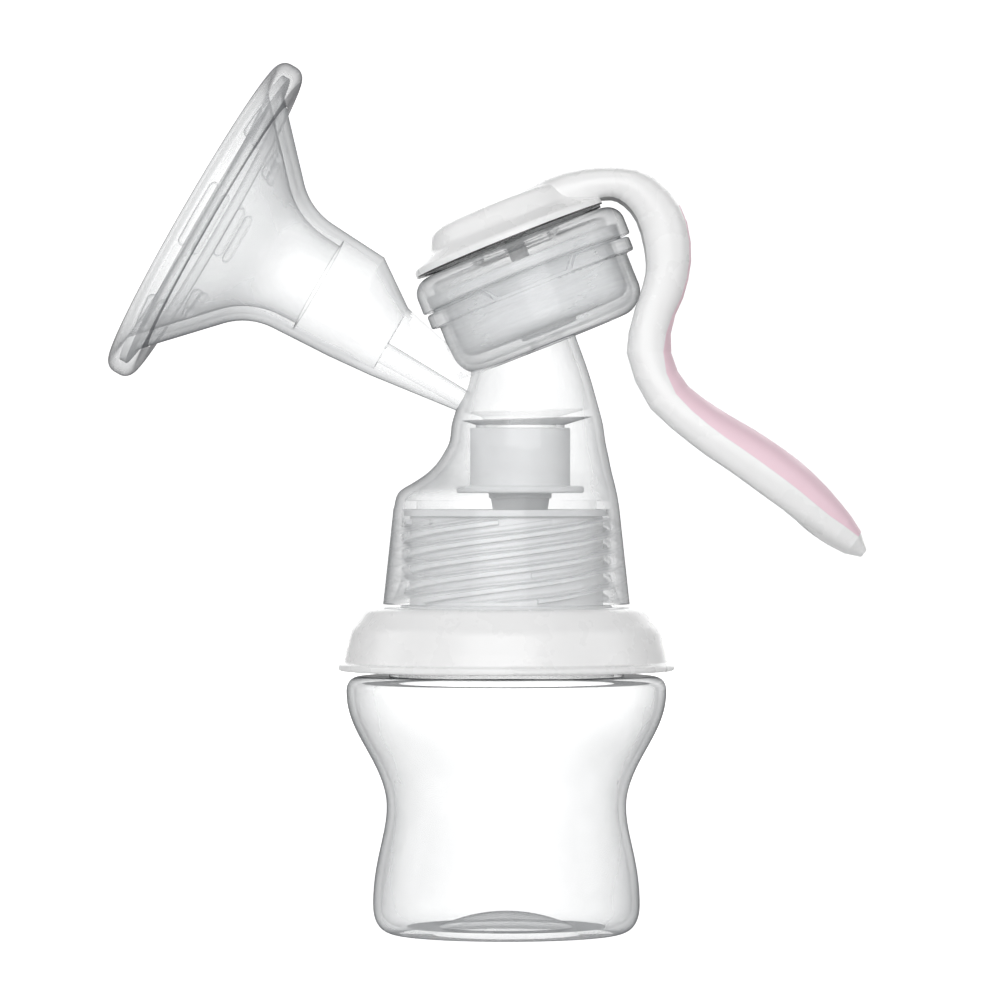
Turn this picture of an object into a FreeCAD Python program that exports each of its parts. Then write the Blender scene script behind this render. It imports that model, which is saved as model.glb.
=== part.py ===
"""Manual breast pump on its feeding bottle.

Units are millimetres. +Z is up, the bottle's axis is Z and its base stands on z = 0.
The funnel opens towards -X and the squeeze lever hangs on the +X side, so XZ is the mirror plane.

Three local frames carry the tilted parts, each with its own Z:
  bottle frame   Z up, origin at the base centre
  chamber frame  Z out of the suction chamber's lid, origin where the lever's skirt meets the chamber axis
  funnel frame   Z into the pump along the funnel's axis, origin at the centre of the funnel's front face
"""

import FreeCAD, Part
import math
import os

Vector = FreeCAD.Vector

# ---------------------------------------------------------------- driving sizes
RUN_GAP = 0.3            # between pieces that move past each other
SEAT_GAP = 0.1           # between pieces that are clamped or pushed together

# bottle
BOTTLE_WALL = 1.6
FOOT_R = 22.5            # flat ring that the bottle stands on
BELLY_R = 28.0
BELLY_Z = 6.3
WAIST_R = 25.2
WAIST_Z = 28.0
SHOULDER_R = 33.6
SHOULDER_Z = 51.0
BOTTLE_TOP = 54.2        # flat top of the shoulder
PUNT_R = 15.5            # dome pushed up into the base
PUNT_H = 3.2
NECK_R = 24.6
NECK_WALL = 2.0
NECK_H = 9.8             # above the bottle's shoulder
NECK_THREAD_DEPTH = 1.3
NECK_THREAD_LEAD = 4.0
NECK_THREAD_TURNS = 1.15

# white screw ring
RING_PLATE = 1.6
RING_WALL = 1.6
RING_SLEEVE_GAP = 0.5    # between the sleeve's bore and the crest of the bottle's thread
RING_SKIRT_GAP = 1.1     # between the ring's lip and the bottle's shoulder
RING_TOP_R = 27.9
RING_SHOULDER_R = 31.6
RING_SKIRT_R = 34.2
RING_LIP_R = 35.3
RING_LIP_H = 1.5

# adapter that joins the ring to the pump, and its two seals
BOTTLE_SEAL_H = 1.2
ADAPTER_FLANGE_H = 1.6
ADAPTER_FLANGE_R = 25.6
ADAPTER_NECK_R = 22.2
ADAPTER_NECK_H = 2.1     # above the flange, where it shows between ring and pump
SPIGOT_R = 20.3
SPIGOT_WALL = 1.7
SPIGOT_H = 18.8
ADAPTER_SEAL_H = 1.3
PUMP_THREAD_STARTS = 5
PUMP_THREAD_LEAD = 17.5
PUMP_THREAD_DEPTH = 1.2
THREAD_CREST = 0.75      # width of a thread's crest
THREAD_FLANK = 0.35      # how much wider its foot is, on each side

# pump body: skirt and column
BODY_WALL = 1.8
SKIRT_H = 20.0
SKIRT_FOOT_R = 25.9
SKIRT_TOP_R = 23.75
SKIRT_BORE_R = 22.0
SKIRT_MOUTH_R = 24.1     # lead-in at the skirt's foot
SKIRT_MOUTH_H = 5.5
LEDGE_H = 1.8
LEDGE_R = 18.9
# column stations: height above the skirt's top, offset of the centre towards the lever, radius
COLUMN = [
    (0.0, 0.0, 23.75), (2.5, 0.15, 23.2), (4.2, 0.6, 22.4), (5.8, 1.8, 20.8),
    (8.2, 3.1, 18.9), (11.0, 3.95, 17.5), (14.0, 4.4, 16.4), (17.3, 4.4, 15.95),
    (22.6, 4.5, 14.5), (28.5, 4.7, 12.6), (34.4, 4.3, 10.9), (39.0, 3.9, 9.6),
]
STATION_STEP = 2.0       # spacing of the sections that the column is lofted through
DRAIN_X = 2.9            # axis of the drain tube and its valve
DRAIN_R = 9.3
DRAIN_WALL = 1.6
DRAIN_FOOT = 4.5         # height of the tube's mouth above the skirt's top
DRAIN_FLOOR = 17.6       # height of the sloping floor above the skirt's top
DRAIN_SLOPE = 0.3
BILL_R = 6.2             # duckbill: where it leaves the cup, and its closed tip
BILL_TIP = 5.4
BILL_TIP_HALF = 1.25
BILL_DROP = 7.0
BILL_WALL = 1.0

# suction chamber
CHAMBER_TILT = 21.75     # degrees, towards the funnel
CHAMBER_X = 1.5
CHAMBER_Z = 145.6
LID_GAP = 0.6            # between the lever's skirt and the cap
CAP_R = 23.3
CAP_TOP = 1.6
CAP_H = 7.0
CAP_EDGE = 3.6
CAP_BORE_R = 21.5
FLANGE_R = 22.8
FLANGE_H = 3.0
FLANGE_GAP = 0.5
BOWL_R = 21.1
BOWL_WALL = 1.6
BOWL_DEPTH = 23.1        # lid line to the underside of the bowl
BOWL_CORNER = 5.2
TAB_ANGLE = 20.0         # half angle of the cap's two locking tabs
TAB_H = 2.8
PORT_R = 3.6             # opening from the bowl into the column
PORT_X = -1.3

# diaphragm and stem
BEAD_H = 2.3
BEAD_IN_R = 18.9
MEMBRANE = 1.0
MEMBRANE_R = 18.2
MEMBRANE_DEPTH = 18.9    # lid line to the membrane's floor
BOSS_R = 6.2
BOSS_H = 3.2
STEM_R = 2.0
STEM_FOOT_R = 4.5
STEM_FOOT_H = 1.5
STEM_BAR_R = 1.5
STEM_BAR_LENGTH = 9.0
STEM_BAR_V = 3.6         # height of the cross bar above the lid line
STEM_PLAY = 0.45         # of the cross bar in the lever's slot, above and below

# funnel
FUNNEL_TILT = 120.0      # degrees from +Z, about +Y
FUNNEL_X = -65.8
FUNNEL_Z = 151.5
FUNNEL_WALL = 1.5
RIM_R = 37.2
RIM_H = 6.0
BELL_R = 28.6            # where the bell's outside meets the back of the rim
THROAT_R = 12.9          # where the bell runs into the tube
THROAT_A = 21.0
TUBE_R = 11.9
TUBE_A = 39.5
TAPER_R = 8.1
TAPER_X = 2.9
TAPER_A = 49.2
SPOUT_R = 4.5
SPOUT_X = 3.7
SPOUT_A = 70.0
DUCT_X = 5.5
DUCT_IN_R = 2.4
DUCT_OUT_R = 1.8
FLANGE_LIP_R = 34.4      # edge of the hard funnel, inside the soft rim
CUSHION_WALL = 1.5
SLEEVE_A = 30.4          # where the soft sleeve ends in the tube
PADS = 6
PAD_R = 1.35
PAD_SPAN = 26.0          # degrees between the centres of a pad's round ends
PAD_PROUD = 0.95         # how far a pad stands out of the cushion, in pad radii
PAD_ROWS = [27.5, 20.0]  # radius of each row

# squeeze lever
PIVOT_U = -4.3           # pivot from the cap's edge, across the chamber axis
PIVOT_V = -25.9          # and along it
PIVOT_R = 1.6
EYE_R = 3.0
LUG_W = 6.0
LEVER_WALL = 2.1
DOME_R = 21.8
DOME_H = 8.3
DOME_WALL = 1.8
GRIP_H = 1.2
CHANNEL_END = 7.0        # length of solid tip beyond the hollow
CHANNEL_RUNOUT = 14.0    # length over which the hollow narrows towards that tip
LEVER_STEP = 4.0         # spacing of the sections that its skin runs through
LEVER_POINTS = 8         # points along each half of a section
LEVER_ROUND = 2.6        # 2 is an ellipse, larger is squarer
# lever stations: outer edge x, z and inner edge x, z from the pivot, width, depth of the soft grip
LEVER = [
    (-9.8, 32.6, -8.5, 24.6, 22.0, 0.0),
    (1.3, 31.1, -5.3, 23.9, 21.0, 0.0),
    (8.2, 23.5, -2.5, 20.3, 20.0, 0.5),
    (10.1, 13.1, -0.7, 12.5, 19.5, 0.6),
    (8.6, 5.5, -1.1, 8.5, 19.0, 0.6),
    (6.1, -0.7, -3.6, 0.1, 18.6, 0.9),
    (6.0, -7.0, -4.6, -7.0, 18.8, 2.0),
    (8.8, -12.8, -0.5, -17.5, 20.0, 3.2),
    (15.1, -17.7, 8.3, -26.0, 22.0, 4.2),
    (25.5, -24.0, 18.5, -33.6, 24.0, 5.2),
    (34.2, -30.4, 26.9, -39.7, 24.0, 5.2),
    (41.6, -38.2, 36.1, -45.3, 20.5, 3.8),
    (45.7, -44.0, 42.3, -48.7, 14.5, 1.4),
    (46.9, -47.7, 45.6, -49.4, 7.0, 0.0),
]

# ---------------------------------------------------------------- derived heights
NECK_TOP = BOTTLE_TOP + NECK_H
FLANGE_Z = NECK_TOP + BOTTLE_SEAL_H + SEAT_GAP
RING_PLATE_Z = FLANGE_Z + ADAPTER_FLANGE_H + SEAT_GAP
RING_TOP = RING_PLATE_Z + RING_PLATE
SKIRT_Z = FLANGE_Z + ADAPTER_FLANGE_H + ADAPTER_NECK_H + RUN_GAP
SKIRT_TOP = SKIRT_Z + SKIRT_H
SPIGOT_TOP = SKIRT_Z - RUN_GAP + SPIGOT_H
LEDGE_Z = SPIGOT_TOP + ADAPTER_SEAL_H + SEAT_GAP
CAP_TOP_V = -LID_GAP
CAP_FOOT_V = CAP_TOP_V - CAP_H
FLANGE_V = CAP_FOOT_V - FLANGE_GAP
BOWL_RIM_V = CAP_TOP_V - CAP_TOP - 2 * SEAT_GAP - BEAD_H - 2.4
TOP = Vector(0, 0, 1)
ACROSS = Vector(0, 1, 0)


# ---------------------------------------------------------------- helpers
def rounded_wire(corners, closed=True):
    """Wire in the XZ plane through (x, z, radius) corners, with an arc of that radius at each."""
    count = len(corners)
    points = [Vector(x, 0, z) for x, z, _ in corners]
    cuts = []
    for i, (_, _, radius) in enumerate(corners):
        at_end = not closed and i in (0, count - 1)
        if radius <= 0 or at_end:
            cuts.append((points[i], None, points[i]))
            continue
        before = (points[i - 1] - points[i]).normalize()
        after = (points[(i + 1) % count] - points[i]).normalize()
        half = before.getAngle(after) / 2
        reach = radius / math.tan(half)
        centre = points[i] + (before + after).normalize() * (radius / math.sin(half))
        middle = centre + (points[i] - centre).normalize() * radius
        cuts.append((points[i] + before * reach, middle, points[i] + after * reach))
    edges = []
    for i, (start, middle, end) in enumerate(cuts):
        if middle is not None:
            edges.append(Part.Arc(start, middle, end).toShape())
        if i == count - 1 and not closed:
            break
        following = cuts[(i + 1) % count][0]
        if (following - end).Length > 1e-6:
            edges.append(Part.LineSegment(end, following).toShape())
    return Part.Wire(edges)


def offset_path(corners, distance):
    """The open path of (x, z, radius) corners moved to its left by distance."""
    def side(a, b):
        length = math.hypot(b[0] - a[0], b[1] - a[1])
        return ((b[0] - a[0]) / length, (b[1] - a[1]) / length)

    moved = []
    for i, (x, z, radius) in enumerate(corners):
        into = side(corners[i - 1], corners[i]) if i else None
        out = side(corners[i], corners[i + 1]) if i < len(corners) - 1 else None
        first, second = into or out, out or into
        turn = first[0] * second[1] - first[1] * second[0]
        scale = distance / (1 + first[0] * second[0] + first[1] * second[1])
        shift_x = -(first[1] + second[1]) * scale
        shift_z = (first[0] + second[0]) * scale
        new_radius = radius - math.copysign(distance, turn) if radius > 0 else 0
        moved.append((x + shift_x, z + shift_z, max(new_radius, 0)))
    return moved


def respaced(stations, step):
    """Evenly spaced stations on a smooth run through the given ones, whose first two values are its path."""
    places = [0.0]
    for a, b in zip(stations, stations[1:]):
        places.append(places[-1] + math.hypot(b[0] - a[0], b[1] - a[1]))
    rates = [
        [(end - start) / (places[i + 1] - places[i]) for start, end in zip(stations[i], stations[i + 1])]
        for i in range(len(stations) - 1)
    ]
    slopes = [rates[0]]
    for i in range(1, len(stations) - 1):
        before, after = places[i] - places[i - 1], places[i + 1] - places[i]
        slopes.append([
            (low * after + high * before) / (before + after)
            for low, high in zip(rates[i - 1], rates[i])
        ])
    slopes.append(rates[-1])
    count = max(2, round(places[-1] / step))
    run = []
    for k in range(count + 1):
        place = places[-1] * k / count
        i = max(n for n in range(len(places) - 1) if places[n] <= place + 1e-9)
        span = places[i + 1] - places[i]
        t = (place - places[i]) / span
        run.append(tuple(
            a * (1 + 2 * t) * (1 - t) ** 2 + b * t * t * (3 - 2 * t)
            + span * (p * t * (1 - t) ** 2 - q * t * t * (1 - t))
            for a, b, p, q in zip(stations[i], stations[i + 1], slopes[i], slopes[i + 1])
        ))
    return run


def revolved(corners):
    """Solid of revolution about Z of the closed outline through (radius, z, corner radius)."""
    face = Part.Face(rounded_wire(corners))
    solid = face.revolve(Vector(0, 0, 0), TOP, 360)
    return solid


def tube(outer, inner, low, high, x=0):
    ring = Part.makeCylinder(outer, high - low, Vector(x, 0, low))
    return ring.cut(Part.makeCylinder(inner, high - low, Vector(x, 0, low)))


def disc(radius, low, high, x=0):
    return Part.makeCylinder(radius, high - low, Vector(x, 0, low))


def circle_wire(radius, z, x=0):
    return Part.Wire(Part.makeCircle(radius, Vector(x, 0, z), TOP))


def box(x_low, x_high, y_low, y_high, z_low, z_high):
    size = (x_high - x_low, y_high - y_low, z_high - z_low)
    return Part.makeBox(*size, Vector(x_low, y_low, z_low))


def thread_ridge(wall_r, depth, lead, turns, z, angle):
    """One helical ridge on a wall: outwards for a positive depth, inwards for a negative one."""
    root = wall_r - math.copysign(0.25, depth)
    tip = wall_r + depth
    half_foot = THREAD_CREST / 2 + THREAD_FLANK
    outline = [
        Vector(root, 0, -half_foot), Vector(tip, 0, -THREAD_CREST / 2),
        Vector(tip, 0, THREAD_CREST / 2), Vector(root, 0, half_foot),
    ]
    profile = Part.makePolygon(outline + outline[:1])
    helix = Part.makeHelix(lead, lead * turns, wall_r)
    ridge = Part.Wire(helix.Edges).makePipeShell([profile], True, True)
    ridge.rotate(Vector(0, 0, 0), TOP, angle)
    ridge.translate(Vector(0, 0, z))
    return ridge


def in_chamber(shape):
    """A shape drawn in the chamber frame, moved to its place."""
    place = FreeCAD.Placement(
        Vector(CHAMBER_X, 0, CHAMBER_Z), FreeCAD.Rotation(ACROSS, -CHAMBER_TILT)
    )
    return shape.transformed(place.Matrix)


def in_funnel(shape):
    """A shape drawn in the funnel frame, moved to its place."""
    place = FreeCAD.Placement(
        Vector(FUNNEL_X, 0, FUNNEL_Z), FreeCAD.Rotation(ACROSS, FUNNEL_TILT)
    )
    return shape.transformed(place.Matrix)


def chamber_point(u, v):
    """Point of the mirror plane that lies u across the chamber's axis and v along it."""
    tilt = math.radians(CHAMBER_TILT)
    return Vector(
        CHAMBER_X + u * math.cos(tilt) - v * math.sin(tilt),
        0,
        CHAMBER_Z + u * math.sin(tilt) + v * math.cos(tilt),
    )


def joined(first, *others):
    result = first.fuse(list(others))
    return result.removeSplitter()


# ---------------------------------------------------------------- bottle, ring and adapter
def bottle_outline(inset):
    """Bottle's side from its foot to its shoulder, inset by a wall thickness, as one curve."""
    stations = [
        (BELLY_R, BELLY_Z),
        (0.45 * BELLY_R + 0.55 * WAIST_R, 0.45 * BELLY_Z + 0.55 * WAIST_Z),
        (WAIST_R, WAIST_Z),
        (0.58 * WAIST_R + 0.42 * SHOULDER_R, 0.58 * WAIST_Z + 0.42 * SHOULDER_Z),
        (SHOULDER_R, SHOULDER_Z),
    ]
    curve = Part.BSplineCurve()
    curve.interpolate(
        Points=[Vector(r - inset, 0, z) for r, z in stations],
        InitialTangent=Vector(0, 0, 1),
        FinalTangent=Vector(0, 0, 1),
    )
    return curve.toShape()


def bottle_solid(inset):
    """The bottle's body as a filled form, inset on every side."""
    base = inset
    top = BOTTLE_TOP - inset
    foot = Vector(FOOT_R - inset, 0, base)
    side = bottle_outline(inset)
    low, high = side.Vertexes[0].Point, side.Vertexes[-1].Point
    heel = Part.BSplineCurve()
    heel.interpolate(
        Points=[foot, low], InitialTangent=Vector(1, 0, 0), FinalTangent=Vector(0, 0, 1)
    )
    brow = Part.BSplineCurve()
    shoulder_edge = Vector(SHOULDER_R - 3.4, 0, top)
    brow.interpolate(
        Points=[high, shoulder_edge], InitialTangent=Vector(0, 0, 1), FinalTangent=Vector(-1, 0, 0)
    )
    axis_low, axis_top = Vector(0, 0, base), Vector(0, 0, top)
    edges = [
        Part.LineSegment(axis_low, foot).toShape(), heel.toShape(), side, brow.toShape(),
        Part.LineSegment(shoulder_edge, axis_top).toShape(),
        Part.LineSegment(axis_top, axis_low).toShape(),
    ]
    return Part.Face(Part.Wire(edges)).revolve(Vector(0, 0, 0), TOP, 360)


def punt(rise, radius):
    """Shallow dome that pushes the base up: a sphere's cap of that rise and radius."""
    sphere_r = (radius * radius + rise * rise) / (2 * rise)
    sphere = Part.makeSphere(sphere_r, Vector(0, 0, rise - sphere_r))
    return sphere.common(disc(radius + 1, 0, rise + 1))


def make_bottle():
    neck_in = NECK_R - NECK_WALL
    outer = joined(bottle_solid(0), disc(NECK_R, BOTTLE_TOP - 1, NECK_TOP))
    cavity = joined(bottle_solid(BOTTLE_WALL), disc(neck_in, BOTTLE_TOP - 4, NECK_TOP + 1))
    cavity = cavity.cut(disc(PUNT_R + 2, 0, BOTTLE_WALL + 0.01))
    dome = punt(PUNT_H, PUNT_R)
    lifted = punt(PUNT_H + BOTTLE_WALL, PUNT_R + BOTTLE_WALL)
    solid = outer.cut(cavity.cut(lifted)).cut(dome)
    thread = thread_ridge(
        NECK_R, NECK_THREAD_DEPTH, NECK_THREAD_LEAD, NECK_THREAD_TURNS, BOTTLE_TOP + 3.4, 0
    )
    return joined(solid, thread)


def make_bottle_seal():
    return tube(NECK_R + 0.4, NECK_R - NECK_WALL - 0.4, NECK_TOP, NECK_TOP + BOTTLE_SEAL_H)


def make_screw_ring():
    foot = BOTTLE_TOP + RING_SKIRT_GAP
    bore = NECK_R + NECK_THREAD_DEPTH + RING_SLEEVE_GAP
    top = RING_TOP
    lip_top = foot + RING_LIP_H
    outside = [
        (RING_LIP_R, foot, 0.6), (RING_LIP_R, lip_top, 0.6), (RING_SKIRT_R, lip_top + 0.1, 0.5),
        (RING_SKIRT_R - 0.5, foot + 4.2, 6.0), (RING_SHOULDER_R + 0.9, top - 4.6, 4.0),
        (RING_TOP_R + 1.2, top, 2.6), (ADAPTER_NECK_R + RUN_GAP, top, 0.3),
    ]
    inside = [
        (ADAPTER_NECK_R + RUN_GAP, RING_PLATE_Z, 0), (bore, RING_PLATE_Z, 0.3),
        (bore, foot + 0.6, 0.3), (bore + RING_WALL, foot + 0.6, 0.3),
        (bore + RING_WALL, RING_PLATE_Z, 0.3),
        (RING_TOP_R + 0.6, RING_PLATE_Z, 1.2),
        (RING_SHOULDER_R + 0.9 - RING_WALL, top - 5.2, 3.0),
        (RING_SKIRT_R - 0.5 - RING_WALL, foot + 4.0, 4.0), (RING_SKIRT_R - RING_WALL, foot, 0.3),
    ]
    ring = revolved(outside + inside)
    thread = thread_ridge(
        bore, -NECK_THREAD_DEPTH, NECK_THREAD_LEAD, NECK_THREAD_TURNS,
        BOTTLE_TOP + 3.4 - NECK_THREAD_LEAD / 2 + 1.0, 90,
    )
    return joined(ring, thread)


def make_bottle_adapter():
    bore = SPIGOT_R - SPIGOT_WALL
    neck_top = SKIRT_Z - RUN_GAP
    body = revolved([
        (bore, FLANGE_Z, 0.5), (ADAPTER_FLANGE_R, FLANGE_Z, 0.4),
        (ADAPTER_FLANGE_R, FLANGE_Z + ADAPTER_FLANGE_H, 0.4),
        (ADAPTER_NECK_R, FLANGE_Z + ADAPTER_FLANGE_H, 0),
        (ADAPTER_NECK_R, neck_top, 0.4), (SPIGOT_R, neck_top, 0),
        (SPIGOT_R, SPIGOT_TOP, 0.5), (bore, SPIGOT_TOP, 0.5),
    ])
    turns = (SPIGOT_H - 2.4) / PUMP_THREAD_LEAD
    ridges = [
        thread_ridge(
            SPIGOT_R, PUMP_THREAD_DEPTH, PUMP_THREAD_LEAD, turns, neck_top + 1.2,
            start * 360 / PUMP_THREAD_STARTS,
        )
        for start in range(PUMP_THREAD_STARTS)
    ]
    return joined(body, *ridges)


def make_adapter_seal():
    return tube(SPIGOT_R + 1.2, LEDGE_R, SPIGOT_TOP, SPIGOT_TOP + ADAPTER_SEAL_H)


# ---------------------------------------------------------------- pump body
def column_form(inset):
    """The column as a filled form, inset on every side."""
    stations = respaced(COLUMN, STATION_STEP)
    wires = []
    for i, (h, x, r) in enumerate(stations):
        low, high = stations[max(i - 1, 0)], stations[min(i + 1, len(stations) - 1)]
        lean = math.atan2(low[2] - high[2], high[0] - low[0])
        sunk = SKIRT_TOP + h - inset * math.sin(lean)
        wires.append(circle_wire(r - inset * math.cos(lean), sunk, x))
    return Part.makeLoft(wires, True, False)


def bowl_form():
    """The chamber's bowl with its flange, filled, in the chamber frame."""
    flange_foot = FLANGE_V - FLANGE_H
    return revolved([
        (0, -BOWL_DEPTH, 0), (BOWL_R, -BOWL_DEPTH, BOWL_CORNER), (BOWL_R, flange_foot, 0.4),
        (FLANGE_R, flange_foot, 0.5), (FLANGE_R, FLANGE_V, 0.5), (BOWL_R, FLANGE_V, 0.3),
        (BOWL_R, BOWL_RIM_V, 0.3), (0, BOWL_RIM_V, 0),
    ])


def bowl_cavity():
    inside = BOWL_R - BOWL_WALL
    floor = -BOWL_DEPTH + BOWL_WALL
    return revolved([
        (0, floor, 0), (inside, floor, BOWL_CORNER - BOWL_WALL),
        (inside, 1, 0), (0, 1, 0),
    ])


def tab_sector(half_angle, outer, low, high, slant):
    """Wedge about -Y, and its twin about +Y, whose ends lean out by slant degrees at the top."""
    wedges = []
    for middle in (-90, 90):
        wires = []
        for v, angle in ((low, half_angle), (high, half_angle + slant)):
            corners = [Vector(0, 0, v)]
            for turn in (middle - angle, middle, middle + angle):
                a = math.radians(turn)
                corners.append(Vector(outer * math.cos(a), outer * math.sin(a), v))
            wires.append(Part.makePolygon(corners + corners[:1]))
        wedges.append(Part.makeLoft(wires, True, True))
    return wedges[0].fuse(wedges[1])


def funnel_path():
    """Outside of the hard funnel from its lip to the end of the tube: (radius, depth, corner radius)."""
    return [
        (FLANGE_LIP_R, RIM_H - 1.6 - FUNNEL_WALL / 2, 0), (BELL_R + 2.0, RIM_H - 1.6, 3.0),
        (THROAT_R, THROAT_A, 14.0), (TUBE_R, TUBE_A, 0),
    ]


def funnel_form():
    path = funnel_path()
    lip = path[0]
    return revolved(
        [(0, 0.5, 0), (lip[0], 0.5, 0)] + path + [(0, TUBE_A, 0)]
    )


def funnel_cavity():
    path = offset_path(funnel_path(), FUNNEL_WALL)
    lip = path[0]
    return revolved(
        [(0, -1, 0), (lip[0] + 5, -1, 0), (lip[0] + 5, lip[1], 0)] + path + [(0, TUBE_A, 0)]
    )


def taper_form(inset):
    """The tube's closing taper and its spout, eccentric towards the underside."""
    sections = [
        (TUBE_R, TUBE_A, 0), (TAPER_R, TAPER_A, TAPER_X), (SPOUT_R, SPOUT_A, SPOUT_X),
    ]
    if inset:
        sections = sections[:2]
    wires = [circle_wire(r - inset, a, x) for r, a, x in sections]
    form = Part.makeLoft(wires, True, True)
    return form.fuse(disc(TUBE_R - inset, TUBE_A - 1.0, TUBE_A + 0.1))


def drain_floor():
    """Sloping floor that gathers the milk, with the tube that carries the valve."""
    low = SKIRT_TOP + DRAIN_FLOOR
    bore = DRAIN_R - DRAIN_WALL
    reach = max(radius for _, _, radius in COLUMN)
    floor = revolved([
        (bore, low, 0), (DRAIN_R, low, 0.4), (reach, low + DRAIN_SLOPE * (reach - DRAIN_R), 0),
        (reach, low + DRAIN_SLOPE * (reach - DRAIN_R) + DRAIN_WALL, 0), (bore, low + DRAIN_WALL, 1.0),
    ])
    floor.translate(Vector(DRAIN_X, 0, 0))
    pipe = tube(DRAIN_R, bore, SKIRT_TOP + DRAIN_FOOT, low + 1, DRAIN_X)
    return floor.common(column_form(BODY_WALL / 2)).fuse(pipe)


def lever_lug(pivot):
    """Lug under the bowl with the open eye that the lever's bar snaps into."""
    root_low = chamber_point(BOWL_R - 9.5, -BOWL_DEPTH + 1.0)
    root_high = chamber_point(BOWL_R - 1.2, -BOWL_DEPTH + BOWL_CORNER + 1.2)
    outline = [
        root_low, pivot + Vector(-1.2, 0, -EYE_R + 0.2), pivot + Vector(0.8, 0, EYE_R - 0.3), root_high,
    ]
    web = Part.Face(Part.makePolygon(outline + outline[:1])).extrude(Vector(0, LUG_W, 0))
    web.translate(Vector(0, -LUG_W / 2, 0))
    eye = Part.makeCylinder(EYE_R, LUG_W, pivot - Vector(0, LUG_W / 2, 0), ACROSS)
    hole = Part.makeCylinder(PIVOT_R + SEAT_GAP, LUG_W + 2, pivot - Vector(0, LUG_W / 2 + 1, 0), ACROSS)
    mouth = box(0, EYE_R + 1, -LUG_W, LUG_W, -PIVOT_R * 0.8, PIVOT_R * 0.8)
    mouth.rotate(Vector(0, 0, 0), ACROSS, 25)
    mouth.translate(pivot)
    return web.fuse(eye), hole.fuse(mouth)


def make_pump_body(pivot):
    skirt = Part.makeCone(SKIRT_FOOT_R, SKIRT_TOP_R, SKIRT_H, Vector(0, 0, SKIRT_Z))
    column = column_form(0)
    bowl = in_chamber(bowl_form())
    funnel = in_funnel(funnel_form())
    spout = in_funnel(taper_form(0))
    lug, lug_hole = lever_lug(pivot)
    body = skirt.fuse([column, bowl, funnel, spout, lug])

    bore = disc(SKIRT_BORE_R, SKIRT_Z - 1, LEDGE_Z)
    mouth = Part.makeCone(SKIRT_MOUTH_R, SKIRT_BORE_R, SKIRT_MOUTH_H, Vector(0, 0, SKIRT_Z))
    ledge_bore = disc(LEDGE_R, LEDGE_Z - 1, LEDGE_Z + LEDGE_H)
    above_ledge = box(-60, 60, -60, 60, LEDGE_Z + LEDGE_H, 200)
    column_cavity = column_form(BODY_WALL).common(above_ledge).cut(bowl)
    port = in_chamber(disc(PORT_R, -BOWL_DEPTH - 4, -BOWL_DEPTH + BOWL_WALL + 1, PORT_X))
    duct = in_funnel(
        Part.makeCone(DUCT_IN_R, DUCT_OUT_R, SPOUT_A + 6 - TAPER_A, Vector(DUCT_X, 0, TAPER_A - 2))
    )
    slots = tab_sector(TAB_ANGLE + 1.5, FLANGE_R + 2, FLANGE_V - FLANGE_H, FLANGE_V + 0.2, 7)
    slots = in_chamber(slots.cut(disc(BOWL_R, FLANGE_V - FLANGE_H - 1, FLANGE_V + 1)))
    body = body.cut([
        bore, mouth, ledge_bore, column_cavity, in_chamber(bowl_cavity()), in_funnel(funnel_cavity()),
        in_funnel(taper_form(FUNNEL_WALL)), port, duct, lug_hole, slots,
    ])
    thread_foot = SKIRT_MOUTH_H + THREAD_CREST
    turns = (SPIGOT_H - thread_foot - 1.5) / PUMP_THREAD_LEAD
    half_step = 180 / PUMP_THREAD_STARTS + 360 * (thread_foot - 1.2) / PUMP_THREAD_LEAD
    ridges = [
        thread_ridge(
            SKIRT_BORE_R, -PUMP_THREAD_DEPTH, PUMP_THREAD_LEAD, turns, SKIRT_Z + thread_foot,
            start * 360 / PUMP_THREAD_STARTS + half_step,
        )
        for start in range(PUMP_THREAD_STARTS)
    ]
    return joined(body, drain_floor(), *ridges)


def make_duckbill_valve():
    """Soft cup on the drain tube, with a pull rim and a duckbill that closes under suction."""
    mouth = SKIRT_TOP + DRAIN_FOOT
    cup_r = DRAIN_R + 1.2
    tip_z = mouth - BILL_DROP
    throat_r = BILL_R - BILL_WALL
    cup = revolved([
        (0, mouth - 2.4, 0), (BILL_R + 0.4, mouth - 2.4, 0.5), (BILL_R + 0.4, mouth - 1.2, 0.3),
        (cup_r + 2.9, mouth - 1.2, 0.5), (cup_r + 2.9, mouth + 0.3, 0.5), (cup_r, mouth + 0.3, 0.3),
        (cup_r, SKIRT_TOP + DRAIN_FLOOR - 0.6, 0.4), (0, SKIRT_TOP + DRAIN_FLOOR - 0.6, 0),
    ])
    cup = cup.cut(disc(DRAIN_R + SEAT_GAP / 2, mouth - SEAT_GAP, SKIRT_TOP + DRAIN_FLOOR))
    cup = cup.cut(disc(throat_r - 0.2, mouth - 3, mouth + 1))

    def bill(inset, top, tip):
        slit = Part.Ellipse(Vector(0, 0, tip), BILL_TIP - inset, BILL_TIP_HALF - inset * 0.9)
        sections = [circle_wire(BILL_R - inset, top), Part.Wire(slit.toShape())]
        return Part.makeLoft(sections, True, True)

    outside = bill(0, mouth - 2.0, tip_z)
    inside = bill(BILL_WALL, mouth - 1.8, tip_z - 0.3)
    valve = cup.fuse(outside).cut(inside).removeSplitter()
    valve.translate(Vector(DRAIN_X, 0, 0))
    return valve


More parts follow.
